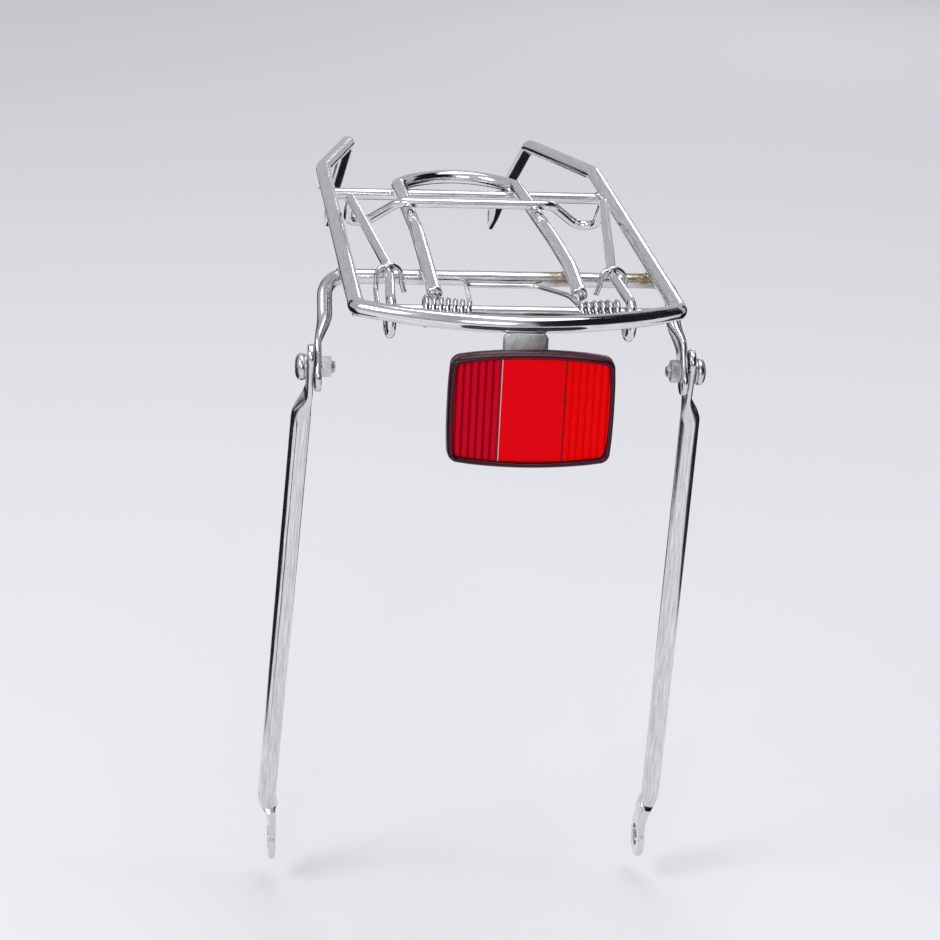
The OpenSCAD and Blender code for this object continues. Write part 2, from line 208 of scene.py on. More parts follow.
def rod(shell, path, section, ref=None, n=28, soft=0.45, groove=None):
    """Sweeps a rod along path. section is a diameter, or a function of (distance, total) that gives
    (width along ref, thickness across it, offset across it). soft rounds the two ends."""
    path = [np.asarray(p, float) for p in path]
    s = np.concatenate([[0], np.cumsum([np.linalg.norm(b - a) for a, b in zip(path, path[1:])])])
    total = s[-1]
    shape = section if callable(section) else (lambda d, t: (section, section, 0.0))
    normal = np.asarray(ref, float) if ref is not None else None
    rows = []
    for i, p in enumerate(path):
        t = unit(path[min(i + 1, len(path) - 1)] - path[max(i - 1, 0)])
        if ref is not None:
            normal = np.asarray(ref, float)
        elif normal is None:
            normal = vec(0, 0, 1) if abs(t[2]) < 0.8 else vec(1, 0, 0)
        normal = unit(normal - t * (t @ normal))
        rows.append((p, t, normal, np.cross(t, normal), s[i]))

    def ring(row, along, shrink):
        p, t, a, b, d = row
        w, h, off = shape(min(total, max(0.0, d)), total)
        w, h = max(0.15, w - 2 * shrink), max(0.15, h - 2 * shrink)
        r, points = min(w, h) / 2, []
        for k in range(n):
            ang = 2 * math.pi * (k + 0.5) / n
            c, e = math.cos(ang), math.sin(ang)
            cut = 1.0 - groove(ang, d, total) / r if groove and not shrink else 1.0
            u = math.copysign(max(0, w - h) / 2, c) + r * c * cut
            v = math.copysign(max(0, h - w) / 2, e) + r * e * cut
            points.append(p + t * along + a * u + b * (v + off))
        return shell.ring(points, (d + along) * MM)

    quarter = [math.radians(30 * k) for k in range(4)]
    rings = [ring(rows[0], soft * (1 - math.cos(q)), soft * (1 - math.sin(q))) for q in quarter]
    rings += [ring(r, 0, 0) for r in rows if soft * 1.3 < r[4] < total - soft * 1.3]
    rings += [ring(rows[-1], -soft * (1 - math.cos(q)), soft * (1 - math.sin(q))) for q in reversed(quarter)]
    shell.stack(rings, n)
    return shell


def lathe(shell, centre, axis, profile, n=48, radius=None):
    """Turns a profile of (distance along axis, radius) round the axis. radius(r, angle, along) may
    reshape it, as for a nut or a thread."""
    axis = unit(np.asarray(axis, float))
    a = unit(np.cross(axis, vec(0, 0, 1) if abs(axis[2]) < 0.8 else vec(0, 1, 0)))
    b = np.cross(axis, a)
    rings = []
    for along, r in profile:
        pts = []
        for k in range(n):
            ang = 2 * math.pi * k / n
            q = max(0.05, radius(r, ang, along) if radius else r)
            pts.append(np.asarray(centre) + axis * along + a * q * math.cos(ang) + b * q * math.sin(ang))
        rings.append(shell.ring(pts, along * MM))
    shell.stack(rings, n)
    return shell


def apply_modifiers(obj):
    deps = bpy.context.evaluated_depsgraph_get()
    baked = bpy.data.meshes.new_from_object(obj.evaluated_get(deps))
    old, obj.data = obj.data, baked
    obj.modifiers.clear()
    bpy.data.meshes.remove(old)


def cut(obj, tool):
    mod = obj.modifiers.new("cut", "BOOLEAN")
    mod.operation, mod.object, mod.solver = "DIFFERENCE", tool, "EXACT"
    apply_modifiers(obj)
    bpy.data.objects.remove(tool)


def mesh_object(name, shell):
    mesh = bpy.data.meshes.new(name)
    mesh.from_pydata([tuple((np.asarray(v) + ORIGIN) * MM) for v in shell.verts], [], shell.faces)
    uv = mesh.uv_layers.new(name="UVMap").data
    for poly in mesh.polygons:
        pairs = [(i, shell.uvs[mesh.loops[i].vertex_index]) for i in poly.loop_indices]
        wraps = len(pairs) == 4 and max(q[1][0] for q in pairs) - min(q[1][0] for q in pairs) > 0.5
        for i, (u, v) in pairs:
            uv[i].uv = (u + 1 if wraps and u < 0.5 else u, v)
    obj = bpy.data.objects.new(name, mesh)
    bpy.context.scene.collection.objects.link(obj)
    return obj


def hole(centre, axis, d, length):
    """A cutter for a round hole."""
    shell = lathe(Shell(), np.asarray(centre) - unit(np.asarray(axis, float)) * length / 2, axis,
                  [(0, d / 2), (length, d / 2)], 56)
    return mesh_object("cutter", shell)


def finish_piece(obj, body, material, nodes=(), angle=32, stains=()):
    """Material, smooth shading, heat stains and the calls that tie a piece to the frame."""
    mesh = obj.data
    mesh.materials.clear()
    mesh.materials.append(material)
    stain = mesh.attributes.new("stain", "FLOAT", "POINT")
    if stains:
        for i, v in enumerate(mesh.vertices):
            p = np.array(v.co) / MM - ORIGIN
            stain.data[i].value = max(k * (1 - ease(np.linalg.norm((p - c) / r), 0.35, 1.0)) for c, r, k in stains)
    for poly in mesh.polygons:
        poly.use_smooth = True
    mesh.set_sharp_from_angle(angle=math.radians(angle))
    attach(obj, body)
    if nodes:
        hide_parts(*nodes)
    return obj


# ---------------------------------------------------------------- materials

class Nodes:
    """Short ways to build a node material."""

    def __init__(self, name):
        self.mat = bpy.data.materials.new(name)
        self.mat.use_nodes = True
        self.tree = self.mat.node_tree
        self.bsdf = self.tree.nodes["Principled BSDF"]

    def add(self, kind, inputs=None, **props):
        node = self.tree.nodes.new(kind)
        for k, v in props.items():
            setattr(node, k, v)
        for k, v in (inputs or {}).items():
            self.put(v, node.inputs[k])
        return node

    def put(self, value, socket):
        if isinstance(value, bpy.types.NodeSocket):
            self.tree.links.new(value, socket)
        else:
            socket.default_value = value

    def noise(self, space, scale, detail=3.0, stretch=(1, 1, 1), rough=0.5):
        where = self.add("ShaderNodeTexCoord").outputs[space]
        mapped = self.add("ShaderNodeMapping", {"Vector": where, "Scale": stretch}).outputs[0]
        return self.add("ShaderNodeTexNoise", {"Vector": mapped, "Scale": scale, "Detail": detail,
                                               "Roughness": rough}).outputs["Fac"]

    def span(self, value, lo, hi, a, b):
        return self.add("ShaderNodeMapRange", {"Value": value, "From Min": lo, "From Max": hi, "To Min": a,
                                               "To Max": b}).outputs["Result"]

    def math(self, op, a, b):
        return self.add("ShaderNodeMath", {0: a, 1: b}, operation=op).outputs[0]

    def blend(self, fac, a, b):
        node = self.add("ShaderNodeMix", {"Factor": fac}, data_type="RGBA")
        self.put(a, node.inputs[6])
        self.put(b, node.inputs[7])
        return node.outputs[2]

    def bump(self, height, distance, strength=1.0, below=None):
        inputs = {"Height": height, "Distance": distance, "Strength": strength}
        if below is not None:
            inputs["Normal"] = below
        return self.add("ShaderNodeBump", inputs).outputs["Normal"]

    def set(self, **sockets):
        for k, v in sockets.items():
            self.put(v, self.bsdf.inputs[k.replace("_", " ")])


def chrome(name, light, dark, rough, wave, streak_bump=0.00002):
    """Plated drawn rod: fine lines along it, soft waves that bend reflections, specks and heat stains."""
    m = Nodes(name)
    streak = m.noise("UV", 1.0, 4, (44, 60, 1), 0.62)
    cloud = m.noise("Object", 55, 3)
    speck = m.noise("Object", 900, 2)
    pits = m.span(speck, 0.66, 0.74, 0.0, 1.0)
    stain = m.add("ShaderNodeAttribute", attribute_name="stain").outputs["Fac"]
    broken = m.math("MULTIPLY", stain, m.span(m.noise("Object", 420, 4, rough=0.7), 0.3, 0.6, 0.45, 1.0))
    plated = m.blend(m.span(streak, 0.4, 0.6, 0.0, 1.0), (*dark, 1), (*light, 1))
    plated = m.blend(m.math("MULTIPLY", pits, 0.35), plated, (0.2, 0.19, 0.18, 1))
    m.set(Base_Color=m.blend(broken, plated, (0.2, 0.14, 0.055, 1)), Metallic=1.0)
    r = m.math("ADD", m.span(streak, 0.3, 0.75, rough, rough + 0.1), m.span(cloud, 0.35, 0.7, 0.0, 0.06))
    m.set(Roughness=m.math("ADD", m.math("ADD", r, m.math("MULTIPLY", pits, 0.15)), m.math("MULTIPLY", broken, 0.22)))
    waves = m.bump(m.noise("Object", 70, 2), wave)
    m.set(Normal=m.bump(streak, streak_bump, below=waves))
    return m.mat


def zinc(name, colour, rough):
    """Zinc-plated or sprung steel: a cloudy satin metal."""
    m = Nodes(name)
    cloud = m.noise("Object", 260, 5, rough=0.6)
    fine = m.noise("Object", 2600, 2)
    deep, full = tuple(c * 0.8 for c in colour) + (1,), tuple(colour) + (1,)
    m.set(Base_Color=m.blend(m.span(cloud, 0.3, 0.7, 0, 1), deep, full),
          Metallic=1.0, Roughness=m.span(cloud, 0.3, 0.75, rough, rough + 0.16))
    m.set(Normal=m.bump(fine, 0.00003, below=m.bump(cloud, 0.00006)))
    return m.mat


def face_plastic(name):
    """Clear red plastic over fine prisms: painted shade darkens the valleys between the ribs, painted shade makes the
    left side darker and cooler, and a painted highlight runs along the left split.
    """
    m = Nodes(name)
    # the three attributes are painted shade, painted shade over the left side and a painted highlight
    dark, side_shade, glint = (m.add("ShaderNodeAttribute", attribute_name=name).outputs["Fac"]
                         for name in ("dark", "side_shade", "glint"))
    where = m.add("ShaderNodeTexCoord").outputs["Object"]
    cells = m.add("ShaderNodeTexVoronoi", {"Vector": where, "Scale": 1100.0}, feature="F1").outputs["Distance"]
    cloud = m.noise("Object", 70, 3)
    # painted shade: the left side darker and cooler, the middle a little, as the light falls on the ribs
    hue = m.blend(side_shade, (0.95, 0.0, 0.0, 1), (0.57, 0.0, 0.018, 1))
    hue = m.blend(m.span(cells, 0.15, 0.75, 0.0, 0.3), hue, (0.6, 0.0, 0.0, 1))
    hue = m.blend(m.span(cloud, 0.35, 0.7, 0.0, 0.22), hue, (0.68, 0.0, 0.0, 1))
    # painted shade in the rib valleys, along the right split and on the hidden back
    hue = m.blend(dark, hue, (0.25, 0.0, 0.015, 1))
    # painted highlight along the left split
    m.set(Base_Color=m.blend(glint, hue, (0.95, 0.5, 0.5, 1)),
          Roughness=m.span(m.noise("Object", 500, 3), 0.3, 0.7, 0.2, 0.32))
    m.bsdf.inputs["Specular IOR Level"].default_value = 0.04
    m.set(Normal=m.bump(cells, 0.00008, 0.5))
    return m.mat


def rim_plastic(name):
    m = Nodes(name)
    cloud = m.noise("Object", 120, 3)
    m.set(Base_Color=m.blend(m.span(cloud, 0.3, 0.7, 0.0, 1.0), (0.05, 0.0, 0.008, 1), (0.025, 0.0, 0.005, 1)),
          Roughness=m.span(m.noise("Object", 500, 3), 0.3, 0.7, 0.12, 0.24))
    m.bsdf.inputs["Specular IOR Level"].default_value = 0.3
    m.set(Normal=m.bump(m.noise("Object", 160, 2), 0.00008, 0.4))
    return m.mat


def black_plastic(name):
    m = Nodes(name)
    grain = m.noise("Object", 1400, 3)
    m.set(Base_Color=m.blend(m.span(m.noise("Object", 60, 3), 0.3, 0.7, 0, 1), (0.012, 0.012, 0.013, 1),
                             (0.03, 0.03, 0.032, 1)), Roughness=m.span(grain, 0.3, 0.7, 0.38, 0.58))
    m.set(Normal=m.bump(grain, 0.00006))
    return m.mat


FRAME_CHROME = chrome("frame chrome", (0.86, 0.86, 0.87), (0.62, 0.625, 0.64), 0.05, 0.00008)
BAR_CHROME = chrome("bar chrome", (0.82, 0.82, 0.83), (0.56, 0.565, 0.57), 0.09, 0.0001, 0.00004)
CLIP_CHROME = chrome("clip chrome", (0.86, 0.86, 0.87), (0.62, 0.63, 0.65), 0.06, 0.00008)
STRUT_CHROME = chrome("strut chrome", (0.86, 0.86, 0.87), (0.6, 0.595, 0.595), 0.1, 0.0001, 0.00004)
PLATE_CHROME = chrome("plate chrome", (0.95, 0.95, 0.96), (0.8, 0.8, 0.81), 0.34, 0.0005)
SPRING_STEEL = chrome("spring steel", (0.8, 0.8, 0.82), (0.46, 0.46, 0.48), 0.1, 0.00005)
SCREW_ZINC = zinc("screw zinc", (0.72, 0.73, 0.75), 0.2)
NUT_ZINC = zinc("nut zinc", (0.66, 0.67, 0.7), 0.26)
WASHER_ZINC = zinc("washer zinc", (0.6, 0.61, 0.63), 0.3)
LENS_RED = face_plastic("lens red")
RIM_RED = rim_plastic("rim maroon")
BLACK = black_plastic("housing black")

# ---------------------------------------------------------------- platform

leg_dir = unit(vec(0, LEG_HOLE[1] - NOSE[1], LEG_HOLE[2] - NOSE[2]))
leg_len = float(np.linalg.norm((LEG_HOLE - NOSE)[1:]))


def bow_half():
    """Right half of the rear bow, from its middle to the corner."""
    return [vec(a * BOW_END, -BOW + BOW * BOW_CURVE * a * a, 0) for a in (k / 18 for k in range(19))]


def main_frame():
    half = bow_half()
    half += bend((BOW_END, -BOW + BOW * BOW_CURVE, 0), (HALF, -6.5, 0), (HALF, 40, 0), 6, 14)
    half += bend((HALF, 0, 0), (HALF, RAIL_END, 0), NOSE, 40, 12)
    half += bend((HALF, RAIL_END, 0), NOSE, NOSE + 60 * leg_dir, 24, 12)
    hole_at = NOSE + leg_len * leg_dir
    half = spaced(half + [NOSE + (leg_len - 60) * leg_dir], 3.0)
    half += spaced([half[-1], hole_at - 2 * leg_dir], 2.0)[1:]
    half += round_end(hole_at, leg_dir, LEG_TIP, (0, 12, 24, 36, 47, 57, 66, 73, 79, 84, 90))
    path = flip(half) + half[1:]

    def section(d, total):
        u = min(d, total - d)
        flat = 1 - ease(u, 24, 66)
        w, t = mix(FRAME_D, LEG_FLAT_W, flat ** 1.2), mix(FRAME_D, LEG_FLAT_T, flat)
        if u < LEG_TIP:
            w, t = max(0.4, chord(LEG_TIP, u)), mix(1.4, LEG_FLAT_T, ease(u, 0, 0.8))
        return w, t, 0.0

    obj = mesh_object("main_frame_rod", rod(Shell(), path, section, ref=(0, 0, 1), n=32, soft=0.1))
    for side in (-1, 1):
        cut(obj, hole(hole_at * vec(side, 1, 1), (1, 0, 0), LEG_BORE, 8))
    stains = [(vec(s * HALF, y, -3.0), vec(5, 6, 3.0), k) for s in (-1, 1)
              for y, k in ((BAR_Y, 0.35), (BRIDGE_Y, 0.8), (AXLE_Y, 0.3))]
    finish_piece(obj, "rack", FRAME_CHROME, ["main_frame"], stains=stains)


def straight(name, d, y, z, half, node, material, stains=()):
    path = spaced([vec(-half, y, z), vec(half, y, z)], 2.0)
    obj = mesh_object(name, rod(Shell(), path, d, n=28, soft=0.5))
    finish_piece(obj, "rack", material, [node], stains=stains)


def bridge_bar():
    down = unit(vec(0, BOLT_Y - BRIDGE_Y, BOLT_Z - BRIDGE_Z))
    reach = math.hypot(BOLT_Y - BRIDGE_Y, BOLT_Z - BRIDGE_Z)
    top = vec(BRIDGE_LEG_X, BRIDGE_Y, BRIDGE_Z)
    half = spaced([vec(0, BRIDGE_Y, BRIDGE_Z)] + bend((0, BRIDGE_Y, BRIDGE_Z), top, top + 30 * down, 8.5, 14)
                  + [top + reach * down], 1.5)
    half += round_end(top + (reach + 4) * down, down, TAB_R, (0, 12, 24, 36, 47, 57, 66, 74, 81, 90))
    half = spaced(half, 1.5)
    path = flip(half) + half[1:]

    def section(d, total):
        u = min(d, total - d)
        flat = 1 - ease(u, 18.5, 32)
        w, t = mix(BRIDGE_D, 2 * TAB_R, flat), mix(BRIDGE_D, TAB_T, flat)
        if u < TAB_R:
            w, t = max(0.4, chord(TAB_R, u)), mix(1.4, TAB_T, ease(u, 0, 0.8))
        return w, t, (TAB_X - BRIDGE_LEG_X) * flat

    across = unit(np.cross(vec(1, 0, 0), down))
    obj = mesh_object("bridge_bar_rod", rod(Shell(), path, section, ref=across, n=32, soft=0.1))
    for side in (-1, 1):
        cut(obj, hole((side * TAB_X, BOLT_Y, BOLT_Z), (1, 0, 0), BOLT_BORE, 8))
    stains = [(vec(x, BRIDGE_Y, BRIDGE_Z + 2), vec(r, 8, 7), k)
              for x, r, k in ((HALF, 17, 1.0), (25, 12, 0.95), (-29.6, 8, 0.35), (-HALF, 10, 0.35))]
    finish_piece(obj, "rack", BAR_CHROME, ["bridge_bar"], stains=stains)


def support_hoop():
    """A shallow front arc, two bent shoulders and two arms that reach back past the bridge bar."""
    rise, front_y, shoulder_y = 15.0, 202.6, 187
    r = (HOOP_HALF ** 2 + rise ** 2) / (2 * rise)
    front, y0 = math.asin(HOOP_HALF / r), front_y - r
    arc = [vec(HOOP_X + r * math.sin(a), y0 + r * math.cos(a), HOOP_Z + 0.6 * (1 - abs(a) / front / 0.86))
           for a in (front * 0.86 * k / 14 for k in range(-14, 15))]
    left_x, right_x = BRIDGE_WELDS
    arms = {1: [vec(27.3, 95, HOOP_Z), vec(right_x, BRIDGE_Y, HOOP_Z), vec(26.8, 17, HOOP_Z - 0.5)],
            -1: [vec(-28.9, 110, HOOP_Z), vec(left_x, BRIDGE_Y, HOOP_Z), vec(-30.2, 15, HOOP_Z - 0.5)]}
    ends = {}
    for s, arm in arms.items():
        shoulder = vec(HOOP_X + s * (HOOP_HALF + 0.3), shoulder_y, HOOP_Z)
        before = vec(HOOP_X + s * r * math.sin(front * 0.9), y0 + r * math.cos(front * 0.9), HOOP_Z)
        ends[s] = bend(before, shoulder, arm[0], 5, 8) + arm
    path = relaxed(spaced(ends[-1][::-1] + arc + ends[1], 2.0), 3)
    stains = [(vec(x, BRIDGE_Y, HOOP_Z - 2.5), vec(5, 6, 3.5), k) for x, k in ((right_x, 0.8), (left_x, 0.3))]
    obj = mesh_object("support_hoop_rod", rod(Shell(), path, HOOP_D, n=28, soft=0.7))
    finish_piece(obj, "rack", FRAME_CHROME, ["support_hoop"], stains=stains)


def weld_beads():
    """Small squeezed-out beads where rods were resistance-welded."""
    places = [(s * HALF, BAR_Y, -3.0, 3.4, 2.6) for s in (-1, 1)]      # x, y, z and half sizes
    places += [(s * HALF, BRIDGE_Y, -3.1, 3.6, 3.2) for s in (-1, 1)]
    places += [(s * (HALF - 0.6), AXLE_Y, -3.0, 3.2, 2.6) for s in (-1, 1)]
    places += [(x, BAR_Y, BAR_Z + 2.4, 3.2, 2.6) for x in BAR_WELDS]
    places += [(x, BRIDGE_Y, BRIDGE_Z + 2.8, 3.3, 3.1) for x in BRIDGE_WELDS]
    bm = bmesh.new()
    for x, y, z, rx, ry in places:
        made = bmesh.ops.create_icosphere(bm, subdivisions=3, radius=1.0)["verts"]
        for v in made:
            lump = 1 + 0.06 * math.sin(5 * v.co.x + x) * math.cos(4 * v.co.y + y)
            v.co = Vector((v.co.x * rx * lump, v.co.y * ry * lump, v.co.z * 0.75))
            v.co = (v.co + Vector((x, y, z)) + Vector(ORIGIN)) * MM
    mesh = bpy.data.meshes.new("weld_beads")
    bm.to_mesh(mesh)
    bm.free()
    obj = bpy.data.objects.new("weld_beads", mesh)
    bpy.context.scene.collection.objects.link(obj)
    stains = [(vec(x, y, z), vec(4, 4, 3), 0.45) for x, y, z, _, _ in places]
    finish_piece(obj, "rack", BAR_CHROME, (), stains=stains)


# ---------------------------------------------------------------- spring and clip

def round_axle(x, r, degrees):
    """A point round the hinge axle: 0 is forward, 90 is up."""
    a = math.radians(degrees)
    return vec(x, AXLE_Y + r * math.cos(a), AXLE_Z + r * math.sin(a))


def coil(side):
    """Starts on top of the axle and winds over it to the rear, its radius growing a little."""
    turns = TURNS[side]
    n = round(34 * turns)
    return [round_axle(COIL_X[side] + COIL_PITCH * turns * k / n, mix(COIL_R, COIL_END_R[side], k / n),
                       90 + 360 * turns * k / n) for k in range(n + 1)]


def torsion_spring():
    y, z, top = BRIDGE_Y - 3.3, BRIDGE_Z - 2.1, AXLE_Z + COIL_R
    right = route([(0, y, z), (15.6, y, z), (25.6, 36, -6.5), (27.2, 18, -5.5), (COIL_X[1], AXLE_Y, top)],
                  [6, 22, 10]) + coil(1)
    left = route([(0, y, z), (13.6, y, z), (COIL_X[-1], AXLE_Y, top)], [1.8]) + coil(-1)
    path = relaxed(spaced(flip(left) + right[1:], 1.5), 1)
    obj = mesh_object("torsion_spring_wire", rod(Shell(), path, SPRING_D, n=16, soft=0.25))
    finish_piece(obj, "rack", SPRING_STEEL, ["torsion_spring"])


def spring_leg(side):
    """The turning end of the spring: a ring round the axle, then forward and over the clip arm."""
    r = RING_R[side]
    ring_x = COIL_X[side] + COIL_PITCH * TURNS[side] + RING_GAP - side * CLIP_X
    out, hook_y, top_z, arch = 49.6, 39.0, 4.15, 5.0
    foot, corner = vec(ring_x, AXLE_Y + 3.1, AXLE_Z - 0.83 * r), vec(50.6, AXLE_Y + 2.7, AXLE_Z - 2.7)
    knee = vec(out, hook_y, AXLE_Z - 0.7)
    path = [round_axle(ring_x, r, a) for a in range(10, 291, 8)]
    path += bend(round_axle(ring_x, r, 290), foot, corner, 1, 6)
    path += bend(foot, corner, knee, 2.4, 8) + bend(corner, knee, vec(out, hook_y, 10), 3, 8)
    path += [vec(out - arch + arch * math.cos(a), hook_y, top_z - arch + arch * math.sin(a))
             for a in (math.radians(9 * k) for k in range(21))]
    path += [vec(out - 2 * arch - 0.1, hook_y, -3), vec(out - 2 * arch - 1.4, hook_y, -7)]
    path = spaced(path, 1.2)
    return moved(path if side > 0 else flip(path), CLIP_X, 0, 0)


def clip_wire():
    """A wave dips below the platform at each side of the cross part, and an arm runs back to each eye."""
    half = route([(0, CLIP_Y, CLIP_Z), (33, CLIP_Y, CLIP_Z), (45.3, CLIP_Y + 10.5, -5.9), (53.8, CLIP_Y + 8.5, -5.9),
                  (54.2, CLIP_Y - 6, 8.4), (44.3, 41.5, 1.5), (EYE_X, AXLE_Y, EYE_Z + EYE_R)],
                 [7, 5.8, 5.8, 5.2, 30], 14)
    half += [vec(EYE_X, AXLE_Y + EYE_R * math.cos(math.radians(a)), EYE_Z + EYE_R * math.sin(math.radians(a)))
             for a in range(98, 379, 8)]
    half = spaced(half, 2.0)
    path = moved(flip(half) + half[1:], CLIP_X, 0, 0)
    obj = mesh_object("clip_wire_rod", rod(Shell(), relaxed(path, 1), CLIP_D, n=24, soft=0.6))
    finish_piece(obj, "clip", CLIP_CHROME, ["clip_wire"])


# ---------------------------------------------------------------- struts

lean = math.atan2(-ORIGIN[1] - BOLT_Y, BOLT_Z + ORIGIN[2])
STRUT_LEN = math.hypot(-ORIGIN[1] - BOLT_Y, BOLT_Z + ORIGIN[2])
STRUT_DOWN = vec(0, math.sin(lean), -math.cos(lean))
STRUT_BACK = vec(0, -math.cos(lean), -math.sin(lean))


def strut(side):
    """A rolled tube: pressed flat at the top, an eye at the bottom, its seam on the inner rear side."""
    d, top_r, eye_t, eye_r = 8.0, 5.7, 3.0, WHEEL_EYE_R
    tube_top, tube_low, low_x = 2.8, 9.6, WHEEL_EYE_X - STRUT_X      # how far outwards each part sits
    start, end = -4 - top_r, STRUT_LEN + eye_r
    z1, z2 = 24.0, STRUT_LEN - 26                                    # the round tube's two ends

    def sideways(s):
        if s < z1:
            return tube_top * ease(s, 10, z1)
        if s < z2:
            return mix(tube_top, tube_low, (s - z1) / (z2 - z1))
        return mix(tube_low, low_x, ease(s, z2, z2 + 14))

    marks = [start + top_r * (1 - math.cos(math.radians(a))) for a in range(0, 90, 9)]
    for a, b, step in ((start + top_r, 30, 1.2), (30, z2 - 2, 4.0), (z2 - 2, STRUT_LEN, 1.0)):
        marks += list(np.arange(a, b, step))
    marks += [end - eye_r * (1 - math.sin(math.radians(a))) for a in range(0, 91, 6)]
    marks = sorted(set(round(m, 3) for m in marks))
    path = [vec(side * (STRUT_X + sideways(s)), BOLT_Y, BOLT_Z) + STRUT_DOWN * s for s in marks]

    def section(dist, total):
        s = start + dist / total * (end - start)
        u = end - s
        if u < 30:
            flat = 1 - ease(s, z2, z2 + 13) if s < z2 + 13 else 0.0
            w, t = mix(15.0, d, flat), mix(eye_t, d, flat)
            if u < 2 * eye_r:
                w = max(w if u > eye_r else 0.4, chord(eye_r, u))
            if u < 1:
                t = mix(2.0, eye_t, ease(u, 0, 1))
            return w, t, 0.0
        flat = 1 - ease(s, 11, 24)
        w, t = mix(d, 2 * top_r, flat), mix(d, TAB_T, flat)
        if s < start + top_r:
            w, t = max(0.4, chord(top_r, s - start)), mix(1.6, TAB_T, ease(s - start, 0, 0.8))
        return w, t, 0.0

    seam = math.radians(150 if side > 0 else 30)

    def groove(ang, dist, total):
        s = start + dist / total * (end - start)
        away = abs((ang - seam + math.pi) % (2 * math.pi) - math.pi)
        return 0.55 * math.exp(-(away / 0.11) ** 2) * ease(s, 20, 30) * (1 - ease(s, z2 - 4, z2 + 4))

    name = "strut_right" if side > 0 else "strut_left"
    obj = mesh_object(name + "_tube", rod(Shell(), path, section, ref=STRUT_BACK, n=44, soft=0.1, groove=groove))
    cut(obj, hole((side * STRUT_X, BOLT_Y, BOLT_Z), (1, 0, 0), 5.15, 8))
    cut(obj, hole(vec(side * WHEEL_EYE_X, BOLT_Y, BOLT_Z) + STRUT_DOWN * STRUT_LEN, (1, 0, 0), WHEEL_BORE, 8))
    finish_piece(obj, "right_strut" if side > 0 else "left_strut", STRUT_CHROME, [name])


# ---------------------------------------------------------------- fasteners

def hexagon(across_flats, thickness, phase=0.0):
    """Radius of a chamfered hexagon nut at an angle and height."""
    def radius(r, ang, along):
        sector = (ang + phase + math.pi / 6) % (math.pi / 3) - math.pi / 6
        edge = min(along, thickness - along)
        return min(r, across_flats / 2 / math.cos(sector), across_flats / 2 * 1.03 + edge * 1.7)
    return radius


def thread(pitch, depth):
    def radius(r, ang, along):
        turn = (along / pitch - ang / (2 * math.pi)) % 1.0
        return r - depth * abs(2 * turn - 1)
    return radius


def nut(shell, centre, axis, bore, af=8.0, t=4.0, phase=0.0):
    big = af                            # hexagon() trims this back to the flats and chamfers
    profile = [(0, bore / 2 + 0.5), (0, af * 0.44)]
    profile += [(along, big) for along in (0.12, 0.35, 0.6, t / 2, t - 0.6, t - 0.35, t - 0.12)]
    profile += [(t, af * 0.44), (t, bore / 2 + 0.5), (t - 0.4, bore / 2 + 0.05)]
    return lathe(shell, centre, axis, profile, 72, hexagon(af, t, phase))


def strut_bolts():
    """Pan-head screws from outside: a threaded inner end, a plain shank and a domed head with a cross slot."""
    start = TAB_X - TAB_T / 2 - 5.6
    under_head = WASHER_X + 1
    shell = Shell()
    for side in (-1, 1):
        axis = (side, 0, 0)
        steps = [(k * 0.1, 2.5 if k > 3 else 2.1 + 0.1 * k) for k in range(0, 66)]
        lathe(shell, (side * start, BOLT_Y, BOLT_Z), axis, steps, 36, thread(0.8, 0.35))
        shank = [(0, 2.3), (0, 2.5), (WASHER_X - start - 5.2, 2.5)]
        lathe(shell, (side * (start + 6.0), BOLT_Y, BOLT_Z), axis, shank, 36)
        head = [(0, 4.9), (0.15, 5.25), (0.4, 5.4), (1.4, 5.4), (1.9, 5.25), (2.5, 4.8), (3.0, 3.9), (3.3, 2.8),
                (3.45, 1.4), (3.5, 0.3)]
        lathe(shell, (side * under_head, BOLT_Y, BOLT_Z), axis, head, 56)
    obj = mesh_object("strut_bolts_m5", shell)
    for side in (-1, 1):
        for turn in (20, 110):
            a = math.radians(turn)
            along, across = vec(0, math.cos(a), math.sin(a)), vec(0, -math.sin(a), math.cos(a))
            slot = Shell()
            rings = []
            for depth, half_len, half_w in ((1.7, 0.9, 0.3), (3.0, 2.0, 0.48), (5.0, 2.6, 0.7)):
                centre = vec(side * (under_head + depth), BOLT_Y, BOLT_Z)
                pts = [centre + along * p * half_len + across * q * half_w
                       for p, q in ((1, 1), (-1, 1), (-1, -1), (1, -1))]
                rings.append(slot.ring(pts if side > 0 else pts[::-1], 0))
            slot.stack(rings, 4)
            cut(obj, mesh_object("slot", slot))
    finish_piece(obj, "rack", SCREW_ZINC, ["strut_bolts"], angle=35)


def washer(shell, centre, axis, d, bore, t):
    inner, outer = bore / 2, d / 2
    profile = [(0.0, inner), (0.0, outer - 0.2), (0.15, outer), (t - 0.2, outer), (t, outer - 0.25), (t, inner)]
    return lathe(shell, centre, axis, profile, 48)


def fasteners():
    discs, nuts = Shell(), Shell()
    for side in (-1, 1):
        washer(discs, (side * WASHER_X, BOLT_Y, BOLT_Z), (side, 0, 0), 10.0, BOLT_BORE, 1.0)
        nut(nuts, (side * (TAB_X - TAB_T / 2 - 4), BOLT_Y, BOLT_Z), (side, 0, 0), 5.0, phase=math.radians(15))
    finish_piece(mesh_object("strut_washers_m5", discs), "rack", WASHER_ZINC, ["strut_washers"])
    finish_piece(mesh_object("strut_nuts_m5", nuts), "rack", NUT_ZINC, ["strut_nuts"], angle=25)


# ---------------------------------------------------------------- reflector

